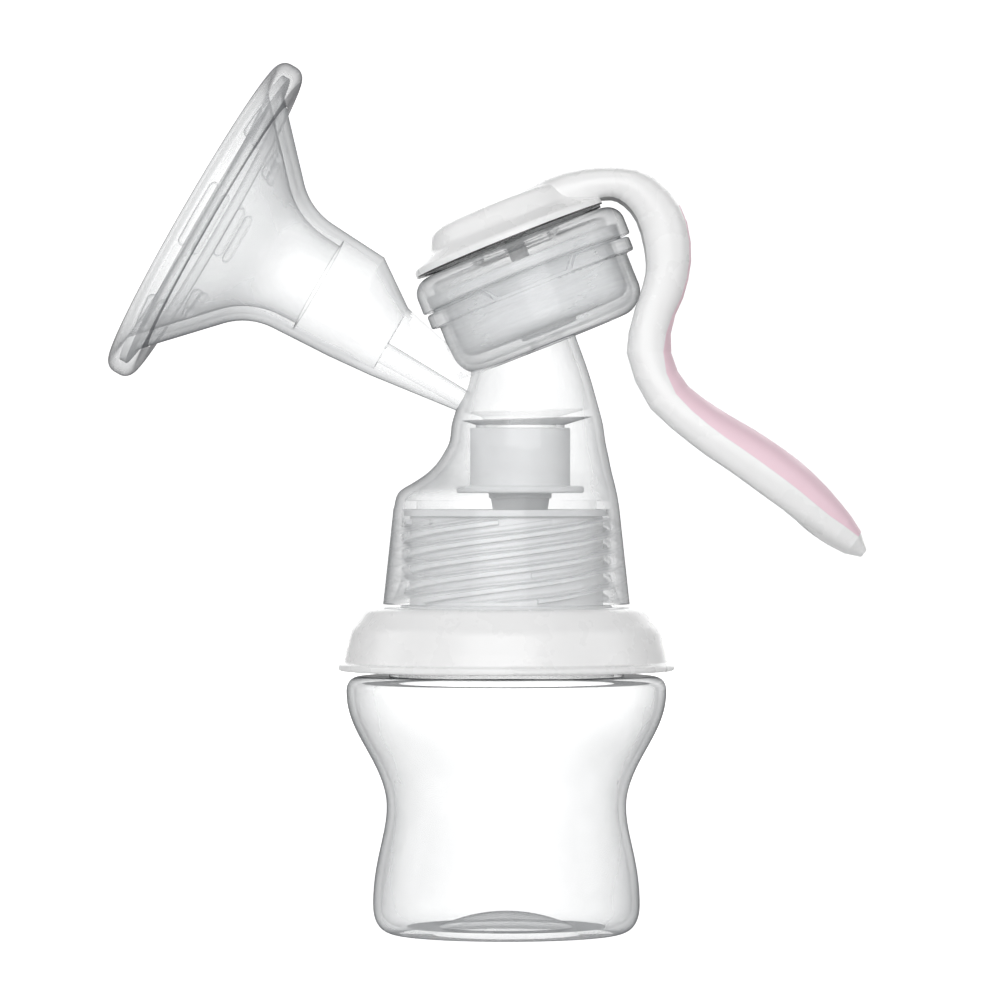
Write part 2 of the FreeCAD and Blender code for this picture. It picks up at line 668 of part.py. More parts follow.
# ---------------------------------------------------------------- chamber parts
def make_diaphragm_cap():
    clamp = BOWL_RIM_V + BEAD_H + SEAT_GAP
    hole = STEM_R + 2 * RUN_GAP
    under = CAP_TOP_V - CAP_TOP
    cap = revolved([
        (hole, CAP_TOP_V, 0.3), (CAP_R, CAP_TOP_V, CAP_EDGE), (CAP_R, CAP_FOOT_V, 0.4),
        (CAP_BORE_R, CAP_FOOT_V, 0.3), (CAP_BORE_R, clamp, 0), (BEAD_IN_R + 0.6, clamp, 0.4),
        (BEAD_IN_R + 0.6, under, 1.0), (hole, under, 0.3),
    ])
    ring = tube(FLANGE_R, CAP_BORE_R, CAP_FOOT_V - TAB_H, CAP_FOOT_V + 0.5)
    tabs = ring.common(tab_sector(TAB_ANGLE, FLANGE_R + 2, CAP_FOOT_V - TAB_H, CAP_FOOT_V + 0.5, 7))
    cap = joined(cap, tabs)
    vents = [
        Part.makeCylinder(1.2, 6, Vector(12 * math.cos(a), 12 * math.sin(a), -5))
        for a in (math.radians(45 + 90 * i) for i in range(4))
    ]
    return in_chamber(cap.cut(vents))


def make_diaphragm():
    bead_low = BOWL_RIM_V
    floor = -MEMBRANE_DEPTH
    wall = MEMBRANE_R
    half = MEMBRANE / 2
    fold = bead_low + BEAD_H / 2
    boss_low = floor - BOSS_H / 2
    boss_top = floor + BOSS_H / 2
    disc_form = revolved([
        (0, boss_low, 0), (BOSS_R, boss_low, 0.6), (BOSS_R, floor - half, 0.5),
        (wall + half, floor - half, 2.6), (wall + half, fold - half, 0.8),
        (BEAD_IN_R, fold - half, 0), (BEAD_IN_R, bead_low, 0.3), (BOWL_R + 0.1, bead_low, 0.5),
        (BOWL_R + 0.1, bead_low + BEAD_H, 0.5), (BEAD_IN_R, bead_low + BEAD_H, 0.3),
        (BEAD_IN_R, fold + half, 0), (wall - half, fold + half, 1.2), (wall - half, floor + half, 1.6),
        (BOSS_R, floor + half, 0.5), (BOSS_R, boss_top, 0.6), (0, boss_top, 0),
    ])
    foot_half = STEM_FOOT_H / 2 + SEAT_GAP
    foot = disc(STEM_FOOT_R + SEAT_GAP, floor - foot_half, floor + foot_half)
    socket = foot.fuse(disc(STEM_R + SEAT_GAP, floor, boss_top + 1))
    return in_chamber(disc_form.cut(socket))


def make_stem():
    floor = -MEMBRANE_DEPTH
    foot = revolved([
        (0, floor - STEM_FOOT_H / 2, 0), (STEM_FOOT_R, floor - STEM_FOOT_H / 2, 0.4),
        (STEM_FOOT_R, floor + STEM_FOOT_H / 2, 0.4), (STEM_R, floor + STEM_FOOT_H / 2, 0.3),
        (STEM_R, STEM_BAR_V, 0), (0, STEM_BAR_V, 0),
    ])
    bar = Part.makeCylinder(
        STEM_BAR_R, STEM_BAR_LENGTH, Vector(0, -STEM_BAR_LENGTH / 2, STEM_BAR_V), ACROSS
    )
    return in_chamber(joined(foot, bar))


# ---------------------------------------------------------------- funnel cushion
def pad(row_r, depth, angle):
    """Oval massage pad that follows a row's circle and is centred at an angle from +Y."""
    start = math.radians(90 + angle - PAD_SPAN / 2)
    end = math.radians(90 + angle + PAD_SPAN / 2)
    ring = Part.makeTorus(row_r, PAD_R, Vector(0, 0, depth), TOP, 0, 360, PAD_SPAN)
    ring.rotate(Vector(0, 0, depth), TOP, 90 + angle - PAD_SPAN / 2)
    caps = [
        Part.makeSphere(PAD_R, Vector(row_r * math.cos(a), row_r * math.sin(a), depth))
        for a in (start, end)
    ]
    return ring.fuse(caps)


def make_breast_cushion():
    hard = funnel_path()
    inside = offset_path(hard, FUNNEL_WALL + SEAT_GAP)
    throat = inside[2]
    sleeve_r = inside[3][0] + (inside[2][0] - inside[3][0]) * (TUBE_A - SLEEVE_A) / (TUBE_A - THROAT_A)
    contact = [inside[0], inside[1], throat, (sleeve_r, SLEEVE_A, 0)]
    soft = offset_path(contact, CUSHION_WALL)
    behind = offset_path(hard, -SEAT_GAP)
    lip_gap_r = FLANGE_LIP_R + SEAT_GAP
    share = (RIM_H - behind[1][1]) / (behind[2][1] - behind[1][1])
    edge_r = behind[1][0] + (behind[2][0] - behind[1][0]) * share
    outline = [
        (RIM_R - 4.0, 0, 3.0), (RIM_R, 0, 2.4), (RIM_R, RIM_H, 2.4), (edge_r, RIM_H, 0),
        behind[1], (lip_gap_r, behind[0][1], 0), (lip_gap_r, inside[0][1], 0),
    ] + contact + [
        (soft[3][0], SLEEVE_A, 0), soft[2], (soft[1][0] + 1.0, soft[1][1] - 0.9, 6.0),
    ]
    cushion = revolved(outline)
    pads = []
    for row_r in PAD_ROWS:
        row_a = next(
            a + (b - a) * (row_r - r) / (q - r)
            for (r, a, _), (q, b, _) in zip(soft, soft[1:]) if q <= row_r <= r
        )
        centre = row_a + PAD_R * (1 - PAD_PROUD)
        for i in range(PADS):
            pads.append(pad(row_r, centre, 360 / PADS * i))
    return in_funnel(joined(cushion, *pads))


# ---------------------------------------------------------------- lever
def lever_section(station, inset):
    """Rounded oblong across the lever at one station, as two mirrored curves."""
    outer_x, outer_z, inner_x, inner_z, width = station[:5]
    outer, inner = Vector(outer_x, 0, outer_z), Vector(inner_x, 0, inner_z)
    middle = (outer + inner) / 2
    out = (outer - inner).normalize()
    half_t = (outer - inner).Length / 2 - inset
    half_w = width / 2 - inset
    power = 2 / LEVER_ROUND
    halves = []
    for side in (1, -1):
        points = []
        for i in range(LEVER_POINTS + 1):
            a = side * (math.pi * i / LEVER_POINTS - math.pi / 2)
            y = side * half_w * max(math.cos(a), 0) ** power
            t = half_t * math.copysign(abs(math.sin(a)) ** power, math.sin(a))
            points.append(middle + out * t + Vector(0, y, 0))
        half = Part.BSplineCurve()
        half.interpolate(
            Points=points, InitialTangent=ACROSS * side, FinalTangent=ACROSS * -side
        )
        halves.append(half.toShape())
    return Part.Wire(halves)


def lever_stations(pivot):
    """LEVER respaced, with the two stations where its neck grows out of the dome put in front."""
    neck = []
    for u, top, width in ((4.0, DOME_H + 0.3, 20.0), (12.5, DOME_H + 1.45, 22.0)):
        outer = chamber_point(u - 1.0, top) - pivot
        inner = chamber_point(u, 0.4) - pivot
        neck.append((outer.x, outer.z, inner.x, inner.z, width, 0.0))
    return respaced(neck + LEVER, LEVER_STEP)


def lever_form(stations, pivot, inset):
    """The lever's neck, arch and handle as a filled form, inset on every side."""
    form = Part.makeLoft([lever_section(s, inset) for s in stations], True, True)
    form.translate(pivot)
    return form


def lever_channel(stations, pivot):
    """Hollow along the lever's inside, open towards the pump, that makes its section a U."""
    length = 0.0
    wires = []
    for station, following in zip(stations[::-1], stations[-2::-1]):
        length += math.hypot(following[0] - station[0], following[1] - station[1])
        if length < CHANNEL_END:
            continue
        outer_x, outer_z, inner_x, inner_z, width = following[:5]
        outer, inner = Vector(outer_x, 0, outer_z), Vector(inner_x, 0, inner_z)
        out = (outer - inner).normalize()
        share = min((length - CHANNEL_END + LEVER_STEP) / CHANNEL_RUNOUT, 1.0)
        side = Vector(0, width / 2 - LEVER_WALL, 0) * share
        corner = Vector(0, 2.5, 0) * share
        top = outer - out * LEVER_WALL
        haunch = outer - out * (LEVER_WALL + 2.5)
        low = inner - out * 3
        left = [low - side, haunch - side, top - side + corner]
        right = [top + side - corner, haunch + side, low + side]
        corners = left + right
        wires.append(Part.makePolygon(corners + corners[:1]))
    channel = Part.makeLoft(wires[:-2], True, True)
    channel.translate(pivot)
    return channel


def dome_path():
    return [
        (DOME_R, 0, 0), (DOME_R, 1.5, 0.9), (DOME_R - 4.6, 4.0, 2.6), (DOME_R - 6.6, DOME_H, 3.4),
        (0, DOME_H, 0),
    ]


def dome_form():
    return revolved([(0, 0, 0)] + dome_path())


def dome_cavity():
    path = offset_path(dome_path(), DOME_WALL)
    foot = path[0]
    return revolved([(0, -1, 0), (foot[0], -1, 0)] + path[1:])


def stem_slot():
    """Two rails under the dome that hold the stem's cross bar and let it slide along the lever."""
    under = STEM_BAR_V - STEM_BAR_R - STEM_PLAY
    over = STEM_BAR_V + STEM_BAR_R + STEM_PLAY
    half = STEM_BAR_LENGTH / 2 + RUN_GAP
    start, end = -14.0, 4.5
    shelf_in = STEM_R + 2 * RUN_GAP
    pieces = [box(start, end, -half - 1.5, half + 1.5, over, DOME_H - 0.5)]
    for side in (-1, 1):
        inner, outer, near = side * half, side * (half + 1.5), side * shelf_in
        pieces.append(box(start, end, min(inner, outer), max(inner, outer), under - 1.3, over + 0.1))
        pieces.append(box(start, end, min(near, outer), max(near, outer), under - 1.3, under))
    return pieces[0].fuse(pieces[1:])


def make_lever(pivot, grip):
    stations = lever_stations(pivot)
    form = lever_form(stations, pivot, 0)
    lever = in_chamber(dome_form()).fuse(form)
    lever = lever.cut([in_chamber(dome_cavity()), lever_channel(stations, pivot)])
    slot = in_chamber(stem_slot().common(dome_form()))
    bar = Part.makeCylinder(PIVOT_R, 17.0, pivot - Vector(0, 8.5, 0), ACROSS)
    return joined(lever, slot, bar).cut(grip)


def make_lever_grip(pivot):
    """Soft inlay in the lever's back: a skin of the lever's own form, cut at the grip's depth."""
    stations = lever_stations(pivot)
    wires = []
    for station in stations:
        outer_x, outer_z, inner_x, inner_z, width, depth = station
        if depth < 0.3:
            continue
        outer, inner = Vector(outer_x, 0, outer_z), Vector(inner_x, 0, inner_z)
        out = (outer - inner).normalize()
        side = Vector(0, width, 0)
        low, high = outer - out * depth, outer + out * 3
        corners = [low - side, high - side, high + side, low + side]
        wires.append(Part.makePolygon(corners + corners[:1]))
    region = Part.makeLoft(wires, True, True)
    region.translate(pivot)
    skin = lever_form(stations, pivot, 0).cut(lever_form(stations, pivot, GRIP_H))
    return skin.common(region)


# ---------------------------------------------------------------- assembly
def main():
    os.makedirs("parts", exist_ok=True)
    pivot = chamber_point(CAP_R + PIVOT_U, PIVOT_V)
    grip = make_lever_grip(pivot)
    nodes = {
        "bottle": make_bottle(),
        "bottle_seal": make_bottle_seal(),
        "screw_ring": make_screw_ring(),
        "bottle_adapter": make_bottle_adapter(),
        "adapter_seal": make_adapter_seal(),
        "pump_body": make_pump_body(pivot),
        "duckbill_valve": make_duckbill_valve(),
        "breast_cushion": make_breast_cushion(),
        "diaphragm": make_diaphragm(),
        "diaphragm_stem": make_stem(),
        "diaphragm_cap": make_diaphragm_cap(),
        "lever": make_lever(pivot, grip),
        "lever_grip": grip,
    }
    for name, shape in nodes.items():
        solids = shape.Solids
        print(name, "solids", len(solids), "valid", shape.isValid(), "volume", round(shape.Volume, 1))
        whole = solids[0] if len(solids) == 1 else Part.makeCompound(solids)
        whole.exportStep("parts/" + name + ".step")


main()
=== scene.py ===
"""Looks for the manual breast pump: clear and white plastic, silicone, studio and camera."""

import math

import bmesh
import bpy
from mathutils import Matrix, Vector
from mathutils.bvhtree import BVHTree


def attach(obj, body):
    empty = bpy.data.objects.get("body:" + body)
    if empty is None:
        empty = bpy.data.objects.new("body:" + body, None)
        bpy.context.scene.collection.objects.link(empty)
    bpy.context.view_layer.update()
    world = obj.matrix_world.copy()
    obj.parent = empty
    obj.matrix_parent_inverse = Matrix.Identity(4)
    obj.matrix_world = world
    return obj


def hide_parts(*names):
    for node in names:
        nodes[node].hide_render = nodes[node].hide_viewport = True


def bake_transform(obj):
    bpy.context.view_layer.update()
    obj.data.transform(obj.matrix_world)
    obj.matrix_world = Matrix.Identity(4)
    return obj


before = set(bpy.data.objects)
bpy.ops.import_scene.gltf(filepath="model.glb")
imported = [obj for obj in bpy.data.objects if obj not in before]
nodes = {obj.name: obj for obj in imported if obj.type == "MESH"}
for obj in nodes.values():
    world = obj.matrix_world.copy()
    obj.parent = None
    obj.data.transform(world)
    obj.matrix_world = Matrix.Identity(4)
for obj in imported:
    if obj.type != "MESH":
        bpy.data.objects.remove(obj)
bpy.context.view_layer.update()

MM = 0.001
UP = Vector((0, 0, 1))

# Places on the object: the chamber's top centre and tilt, and the funnel's mouth
TILT = math.radians(21.75)
CHAMBER = Vector((1.5, 0, 145.6)) * MM
CHAMBER_AXIS = Vector((-math.sin(TILT), 0, math.cos(TILT)))
CHAMBER_SIDE = Vector((math.cos(TILT), 0, math.sin(TILT)))
FUNNEL = Vector((-65.8, 0, 151.5)) * MM
FUNNEL_RISE = math.radians(30)
FUNNEL_AXIS = Vector((-math.cos(FUNNEL_RISE), 0, math.sin(FUNNEL_RISE)))
FUNNEL_END_X = -20 * MM
FUNNEL_FOOT_Z = 120 * MM
BOWL_FOOT_Z = 118 * MM
BOWL_DEPTH = 22 * MM

# Clear walls: share of plastic seen against how far the wall turns away
WALL_COVER = [
    (0.0, 0.02), (0.06, 0.05), (0.18, 0.13), (0.37, 0.22),
    (0.6, 0.32), (0.8, 0.5), (0.93, 0.85), (1.0, 1.0),
]
INNER = "inner_wall"     # face attribute, 1 on the inner faces of a clear wall
INNER_QUIET = 0.8        # how far those faces hold back
WALL_GLOW = 0.2          # share of light that a wall passes on from behind
FILM_GLOW = 0.3
WALL_PASS = (0.997, 0.998, 0.998, 1)
LAMP_PASS = (0.97, 0.972, 0.975, 1)

# The body's five-start thread, seen through the skirt
THREAD_LEAD = 17.5 * MM
THREAD_STARTS = 5
THREAD_Z = (70.0 * MM, 87.5 * MM)
THREAD_LINE = [(0.0, 0.0), (0.3, 0.0), (0.44, 0.35), (0.52, 0.08), (0.62, 0.2), (0.76, 0.0), (1.0, 0.0)]
THREAD_GREY = (0.45, 0.46, 0.47)

# Milky streaks round the chamber, fine across the streaks and coarse along them
HAZE_COLOUR = (0.70, 0.71, 0.72)
HAZE_SHARE = [(0.32, 0.04), (0.5, 0.16), (0.68, 0.32)]
HAZE_REACH = 21.5 * MM
HAZE_LIFT = (-23 * MM, 2 * MM)
STREAK_ALONG = 30
STREAK_ACROSS = 330

# Painted shadow line on the lever's dome where it lies on the lid: half its width and its colour
LID_SHADOW_REACH = 0.3 * MM
SHADOW_LINE_COLOUR = (0.02, 0.02, 0.02, 1)
SHADE_Z = (54.1 * MM, 55.4 * MM)
SHADE_SHARE = 0.3
SHADE_COLOUR = (0.03, 0.03, 0.03)

# The liner and its pads
PAD = "pad_lift"         # face attribute, 0 on the liner's inside and 1 on top of a pad
PAD_SHOWN = [(0.0, 0.0), (0.08, 0.0), (0.3, 0.45), (0.7, 0.16), (1.0, 0.12)]
PAD_GREY = (0.45, 0.46, 0.47)
PAD_FIELD_R = 31 * MM
SEAT_GAP = 0.1 * MM
LINER_WALL = 1.5 * MM
PAD_HEIGHT = 1.3 * MM

# Studio, in metres
FLOOR_GLOW = 0.66        # strength of the paper near the object, 1 far away
GLOSS_GLOW = 0.35
PAPER = (0.80, 0.80, 0.80, 1)
PAPER_REACH = 4.0
PAPER_SIDES = 64
PAPER_PROFILE = [(1.2, 0.0), (2.4, 0.0), (3.0, 0.06), (3.5, 0.3), (3.8, 0.75), (3.9, 1.4), (3.9, 3.5)]
LAMP_AIM = (0, 0, 0.1)
LAMPS = [
    ("front", (-0.2, -1.75, 0.7), (1.8, 1.4), 25),
    ("back", (0.2, 1.75, 0.7), (1.8, 1.4), 13),
    ("left", (-1.6, 0.2, 0.6), (0.7, 1.0), 3.5),
    ("right", (1.6, -0.2, 0.6), (0.7, 1.0), 3.5),
    ("top", (0.0, 0.0, 1.7), (1.0, 1.0), 4),
]
WORLD_STRENGTH = 0.12
CAMERA_AT = Vector((-1.344, -1302, 95.3)) * MM
CAMERA_AIM = Vector((-1.344, 0, 91.14)) * MM
CAMERA_LENS = 223.2
CAMERA_SENSOR = 36
CAMERA_END = 20


# ---------------------------------------------------------------- node helpers
def new_material(name):
    material = bpy.data.materials.new(name)
    material.use_nodes = True
    material.node_tree.nodes.clear()
    return material, material.node_tree


def add(tree, kind, **inputs):
    node = tree.nodes.new(kind)
    for key, value in inputs.items():
        node.inputs[key.replace("_", " ")].default_value = value
    return node


def link(tree, a, b):
    tree.links.new(a, b)


def noise(tree, scale, detail=3.0, roughness=0.5):
    where = tree.nodes.new("ShaderNodeTexCoord")
    texture = add(tree, "ShaderNodeTexNoise", Scale=scale, Detail=detail, Roughness=roughness)
    link(tree, where.outputs["Object"], texture.inputs["Vector"])
    return texture.outputs["Fac"]


def ramp(tree, source, stops):
    node = tree.nodes.new("ShaderNodeValToRGB")
    elements = node.color_ramp.elements
    while len(elements) < len(stops):
        elements.new(0.5)
    for element, (place, value) in zip(elements, stops):
        element.position = place
        colour = value if isinstance(value, tuple) else (value, value, value)
        element.color = (*colour, 1)
    link(tree, source, node.inputs["Fac"])
    return node.outputs["Color"]


def math_node(tree, operation, a, b):
    node = tree.nodes.new("ShaderNodeMath")
    node.operation = operation
    for socket, value in zip(node.inputs, (a, b)):
        if isinstance(value, (int, float)):
            socket.default_value = value
        else:
            link(tree, value, socket)
    return node.outputs["Value"]


def attribute(tree, name):
    node = tree.nodes.new("ShaderNodeAttribute")
    node.attribute_name = name
    return node.outputs["Fac"]


def bump(tree, height, strength, distance):
    node = add(tree, "ShaderNodeBump", Strength=strength, Distance=distance)
    link(tree, height, node.inputs["Height"])
    return node.outputs["Normal"]


def mix_shader(tree, share, first, second):
    node = tree.nodes.new("ShaderNodeMixShader")
    if isinstance(share, (int, float)):
        node.inputs["Fac"].default_value = share
    else:
        link(tree, share, node.inputs["Fac"])
    link(tree, first.outputs[0], node.inputs[1])
    link(tree, second.outputs[0], node.inputs[2])
    return node


def finish_material(tree, shader):
    out = tree.nodes.new("ShaderNodeOutputMaterial")
    link(tree, shader, out.inputs["Surface"])


# ---------------------------------------------------------------- materials
def clear_material(name, strength, light, dark, gloss_rough=0.06, shine=0.12, layers=()):
    """Clear plastic wall: nearly invisible when faced, greyer the more it is seen edge on.

    Its outer faces carry the shading. The inner ones hold back, as bending of light hides them
    in a real wall. layers holds pairs of a function and a colour: the function gives the share
    from 0 to 1 in which the colour is laid on at each place.
    """
    material, tree = new_material(name)
    facing = add(tree, "ShaderNodeLayerWeight", Blend=0.5).outputs["Facing"]
    cover = ramp(tree, facing, [(place, min(value * strength, 1.0)) for place, value in WALL_COVER])
    inner = attribute(tree, INNER)
    shown = math_node(tree, "MULTIPLY", inner, -INNER_QUIET)
    cover = math_node(tree, "MULTIPLY", cover, math_node(tree, "ADD", shown, 1.0))
    cloud = ramp(tree, noise(tree, 55, 4), [(0.3, 0.86), (0.7, 1.14)])
    cover = math_node(tree, "MULTIPLY", cover, cloud)
    middle = tuple((a + b) / 2 for a, b in zip(light, dark))
    tint = ramp(tree, facing, [(0.0, light), (0.4, light), (0.75, middle), (0.97, dark)])
    front = add(tree, "ShaderNodeBsdfDiffuse")
    link(tree, tint, front.inputs["Color"])
    through = add(tree, "ShaderNodeBsdfTranslucent")
    link(tree, tint, through.inputs["Color"])
    body = mix_shader(tree, WALL_GLOW, front, through)
    clear = add(tree, "ShaderNodeBsdfTransparent", Color=WALL_PASS)
    wall = mix_shader(tree, cover, clear, body)
    for share_at, colour in layers:
        film = add(tree, "ShaderNodeBsdfDiffuse", Color=(*colour, 1))
        back = add(tree, "ShaderNodeBsdfTranslucent", Color=(*colour, 1))
        wall = mix_shader(tree, share_at(tree), wall, mix_shader(tree, FILM_GLOW, film, back))
    gloss = add(tree, "ShaderNodeBsdfGlossy", Roughness=gloss_rough)
    link(tree, bump(tree, noise(tree, 40, 2), 0.12, 0.002), gloss.inputs["Normal"])
    mirror = math_node(tree, "MULTIPLY", math_node(tree, "POWER", facing, 4.0), shine)
    mirror = math_node(tree, "ADD", mirror, 0.012)
    surface = mix_shader(tree, mirror, wall, gloss)
    lit = tree.nodes.new("ShaderNodeLightPath").outputs["Is Shadow Ray"]
    passing = add(tree, "ShaderNodeBsdfTransparent", Color=LAMP_PASS)
    finish_material(tree, mix_shader(tree, lit, surface, passing).outputs[0])
    return material


def object_place(tree):
    return tree.nodes.new("ShaderNodeTexCoord").outputs["Object"]


def along_axis(tree, axis, origin=Vector()):
    """Distance of the shaded point from origin along axis."""
    dot = add(tree, "ShaderNodeVectorMath")
    dot.operation = "DOT_PRODUCT"
    link(tree, object_place(tree), dot.inputs[0])
    dot.inputs[1].default_value = axis
    return math_node(tree, "SUBTRACT", dot.outputs["Value"], origin.dot(axis))


def within(tree, value, low, high):
    above = math_node(tree, "GREATER_THAN", value, low)
    return math_node(tree, "MULTIPLY", above, math_node(tree, "LESS_THAN", value, high))


def thread_lines(tree):
    """Fine helical lines on the body's skirt, where its inner thread shows through the wall."""
    where = tree.nodes.new("ShaderNodeSeparateXYZ")
    link(tree, object_place(tree), where.inputs[0])
    x, y, z = where.outputs
    turn = math_node(tree, "MULTIPLY", math_node(tree, "ARCTAN2", y, x), THREAD_STARTS / (2 * math.pi))
    rise = math_node(tree, "DIVIDE", z, THREAD_LEAD / THREAD_STARTS)
    wander = math_node(tree, "MULTIPLY", noise(tree, 90, 2), 0.25)
    phase = math_node(tree, "ADD", math_node(tree, "SUBTRACT", rise, turn), wander)
    line = ramp(tree, math_node(tree, "FRACT", phase, 0.0), THREAD_LINE)
    return math_node(tree, "MULTIPLY", line, within(tree, z, *THREAD_Z))


def chamber_haze(tree):
    """Milky streaks along the lid's plane, in the wall around the diaphragm."""
    lift = along_axis(tree, CHAMBER_AXIS, CHAMBER)
    side = along_axis(tree, CHAMBER_SIDE, CHAMBER)
    streak = tree.nodes.new("ShaderNodeCombineXYZ")
    across = along_axis(tree, Vector((0, 1, 0)))
    scales = (STREAK_ALONG, STREAK_ALONG, STREAK_ACROSS)
    for socket, distance, scale in zip(streak.inputs, (side, across, lift), scales):
        link(tree, math_node(tree, "MULTIPLY", distance, scale), socket)
    texture = add(tree, "ShaderNodeTexNoise", Scale=1.0, Detail=4.0, Roughness=0.6)
    link(tree, streak.outputs[0], texture.inputs["Vector"])
    share = ramp(tree, texture.outputs["Fac"], HAZE_SHARE)
    near = within(tree, side, -HAZE_REACH, HAZE_REACH)
    place = math_node(tree, "MULTIPLY", near, within(tree, lift, *HAZE_LIFT))
    return math_node(tree, "MULTIPLY", share, place)


def neck_shade(tree):
    """Shade at the foot of the bottle's neck, under the ring's lip."""
    return math_node(tree, "MULTIPLY", within(tree, along_axis(tree, UP), *SHADE_Z), SHADE_SHARE)


def lid_shadow_line(tree):
    """Painted shadow: a dark line along the lower edge of the lever's dome, where it lies on the lid."""
    edge = within(tree, along_axis(tree, CHAMBER_AXIS, CHAMBER), -LID_SHADOW_REACH, LID_SHADOW_REACH)
    near = within(tree, along_axis(tree, CHAMBER_SIDE, CHAMBER), -HAZE_REACH, HAZE_REACH)
    return math_node(tree, "MULTIPLY", edge, near)


def pad_edges(tree):
    """Grey outline and a faint milky top on the liner's pads."""
    return ramp(tree, attribute(tree, PAD), PAD_SHOWN)


def frosted_material(name, colour, spread, through_share, shine, gloss_rough):
    """Milky plastic or silicone that glows with the light behind it, with no clear view through."""
    material, tree = new_material(name)
    low = tuple(c * (1 - spread) for c in colour)
    tint = ramp(tree, noise(tree, 70, 5), [(0.35, low), (0.65, colour)])
    normal = bump(tree, noise(tree, 260, 3), 0.2, 0.0002)
    front = add(tree, "ShaderNodeBsdfDiffuse")
    through = add(tree, "ShaderNodeBsdfTranslucent")
    gloss = add(tree, "ShaderNodeBsdfGlossy", Roughness=gloss_rough)
    for shader in (front, through):
        link(tree, tint, shader.inputs["Color"])
        link(tree, normal, shader.inputs["Normal"])
    link(tree, normal, gloss.inputs["Normal"])
    body = mix_shader(tree, through_share, front, through)
    finish_material(tree, mix_shader(tree, shine, body, gloss).outputs[0])
    return material


def plastic_material(
    name, colour, spread, roughness, grain_scale, grain_depth, subsurface=0.0, shade_at=None,
):
    """Moulded plastic: slight colour variation, fine grain and uneven gloss, and a painted shadow where
    the given mask says.
    """
    material, tree = new_material(name)
    shader = add(tree, "ShaderNodeBsdfPrincipled", IOR=1.49)
    low = tuple(c * (1 - spread) for c in colour)
    tint = ramp(tree, noise(tree, 25, 5), [(0.35, low), (0.65, colour)])
    # painted shadow: a near-black colour laid where the mask says shade falls
    if shade_at:
        dark = add(tree, "ShaderNodeMix")
        dark.data_type = "RGBA"
        link(tree, shade_at(tree), dark.inputs[0])
        link(tree, tint, dark.inputs[6])
        dark.inputs[7].default_value = SHADOW_LINE_COLOUR
        tint = dark.outputs[2]
    link(tree, tint, shader.inputs["Base Color"])
    rough = ramp(tree, noise(tree, 140, 4), [(0.3, roughness * 0.85), (0.7, roughness * 1.15)])
    link(tree, rough, shader.inputs["Roughness"])
    link(tree, bump(tree, noise(tree, grain_scale, 3), 0.25, grain_depth), shader.inputs["Normal"])
    if subsurface:
        shader.inputs["Subsurface Weight"].default_value = subsurface
        shader.inputs["Subsurface Radius"].default_value = (0.004, 0.004, 0.004)
        shader.inputs["Subsurface Scale"].default_value = 1.0
    finish_material(tree, shader.outputs[0])
    return material


bottle_clear = clear_material(
    "bottle_clear", 1.15, (0.78, 0.79, 0.80), (0.16, 0.17, 0.18), layers=[(neck_shade, SHADE_COLOUR)],
)
body_clear = clear_material(
    "body_clear", 1.2, (0.80, 0.81, 0.82), (0.10, 0.11, 0.12),
    layers=[(thread_lines, THREAD_GREY), (chamber_haze, HAZE_COLOUR)],
)
cap_clear = clear_material(
    "cap_clear", 1.1, (0.83, 0.84, 0.85), (0.12, 0.13, 0.14), layers=[(chamber_haze, HAZE_COLOUR)],
)
liner_clear = clear_material(
    "liner_clear", 0.9, (0.86, 0.87, 0.88), (0.03, 0.03, 0.04),
    gloss_rough=0.3, shine=0.06, layers=[(pad_edges, PAD_GREY)],
)
adapter_frosted = frosted_material("adapter_frosted", (0.95, 0.955, 0.96), 0.04, 0.15, 0.05, 0.3)
silicone_clear = frosted_material("silicone_clear", (0.93, 0.935, 0.94), 0.05, 0.2, 0.05, 0.35)
silicone_grey = frosted_material("silicone_grey", (0.95, 0.955, 0.96), 0.05, 0.12, 0.04, 0.4)
WHITE = {
    "colour": (0.90, 0.90, 0.90), "spread": 0.006, "roughness": 0.28,
    "grain_scale": 900, "grain_depth": 0.00004, "subsurface": 0.05,
}
white_plastic = plastic_material("white_plastic", **WHITE)
# the lever's white carries a painted shadow line along the dome's lower edge
lever_white = plastic_material("lever_white", **WHITE, shade_at=lid_shadow_line)
stem_white = plastic_material("stem_white", (0.84, 0.84, 0.84), 0.03, 0.4, 700, 0.00005)
grip_pink = plastic_material("grip_pink", (0.90, 0.66, 0.74), 0.03, 0.5, 1400, 0.0001, 0.08)

LOOKS = {
    "bottle": bottle_clear,
    "bottle_seal": silicone_clear,
    "screw_ring": white_plastic,
    "bottle_adapter": adapter_frosted,
    "adapter_seal": silicone_clear,
    "pump_body": body_clear,
    "duckbill_valve": silicone_grey,
    "breast_cushion": liner_clear,
    "diaphragm": silicone_clear,
    "diaphragm_stem": stem_white,
    "diaphragm_cap": cap_clear,
    "lever": lever_white,
    "lever_grip": grip_pink,
}
for name, material in LOOKS.items():
    mesh = nodes[name].data
    mesh.materials.clear()
    mesh.materials.append(material)


# ---------------------------------------------------------------- inner faces of the clear walls
def mark_inner(name, axis_at):
    """Writes 1 on each face of a clear node that looks towards the axis it is built around, else 0."""
    mesh = nodes[name].data
    place = nodes[name].matrix_world
    mark = mesh.attributes.new(INNER, "FLOAT", "FACE")
    for face in mesh.polygons:
        centre = place @ face.center
        point, along = axis_at(centre)
        out = centre - point
        out -= along * out.dot(along)
        mark.data[face.index].value = 1.0 if out.dot(face.normal) < 0 else 0.0


def bottle_axis(centre):
    return Vector(), UP


def chamber_axis(centre):
    return CHAMBER, CHAMBER_AXIS


def funnel_axis(centre):
    return FUNNEL, FUNNEL_AXIS


